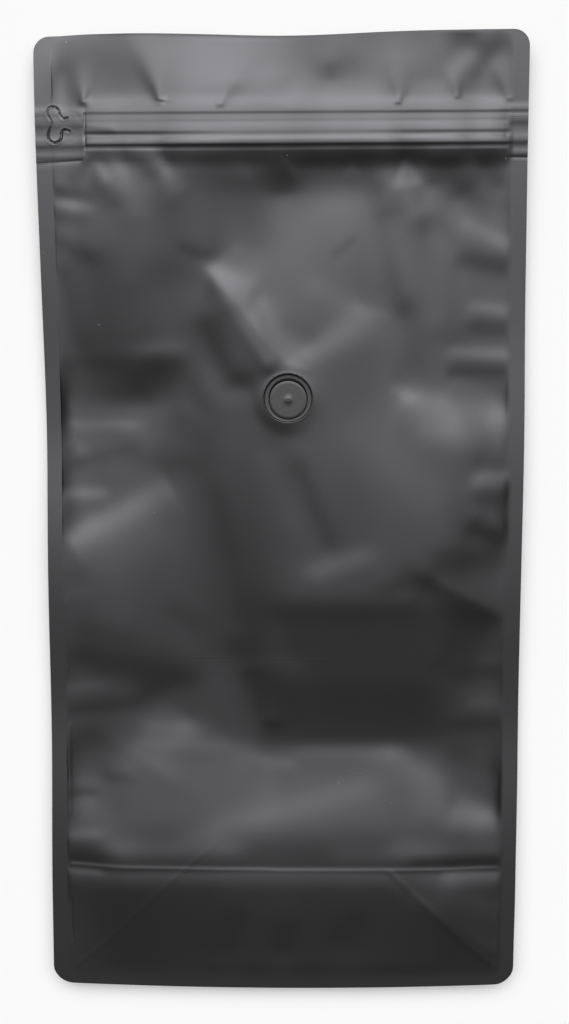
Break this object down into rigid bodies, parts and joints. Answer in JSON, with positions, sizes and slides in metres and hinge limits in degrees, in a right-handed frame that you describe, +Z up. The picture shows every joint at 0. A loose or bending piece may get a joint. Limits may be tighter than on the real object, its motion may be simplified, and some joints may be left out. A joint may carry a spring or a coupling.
{
  "type": "coffee bag with valve",
  "caption": "Flat, empty flat-bottom coffee bag of matte black film, with side seals, a ribbed press-to-close zipper, a die-cut tear tab and a round degassing valve.",
  "frame": {"origin": "on the surface that the bag lies on, under the middle of its outline", "axes": "+Z up out of the front, with the valve and zipper; +Y along the bag towards its mouth; X across it"},
  "size_m": [0.1984, 0.4, 0.0134],
  "materials": {
    "bag_film": "matte black laminated film with soft dents and fine knurled seals",
    "zipper_film": "matte black film drawn over the zipper's ribs",
    "valve_film": "smooth matte black disc with a ring groove"
  },
  "bodies": {
    "root": {"pouch": "bag_film", "zipper": "zipper_film", "valve": "valve_film"}
  },
  "joints": []
}
